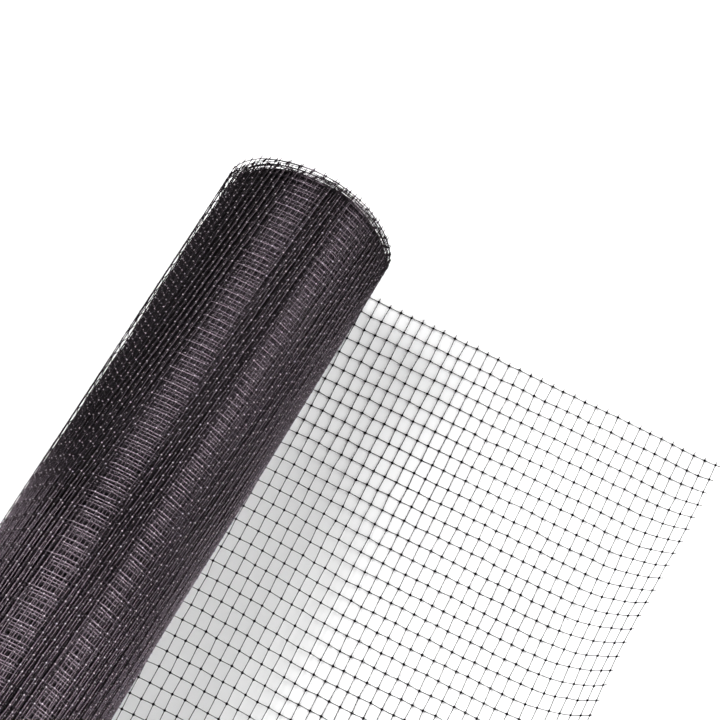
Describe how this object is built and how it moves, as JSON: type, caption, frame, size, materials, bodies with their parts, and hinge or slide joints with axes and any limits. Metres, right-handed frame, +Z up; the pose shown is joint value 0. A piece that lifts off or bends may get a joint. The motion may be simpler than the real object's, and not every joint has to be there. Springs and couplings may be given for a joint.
{
  "type": "roll of mole netting",
  "caption": "Black plastic mole netting with rectangular mesh, wound on a thick roll that lies on its side, with its free end laid out over the floor and curling up.",
  "frame": {"origin": "on the floor, under the middle of the part's box", "axes": "+Y along the roll, +X the way the net is laid out, +Z up"},
  "size_m": [0.8466, 1.0494, 0.2625],
  "materials": {
    "wound_net": "satin black extruded plastic strands with a slight aubergine tint",
    "loose_net": "satin black extruded plastic strands"
  },
  "bodies": {
    "root": {"net_roll": "wound_net", "loose_net": "loose_net"}
  },
  "joints": []
}
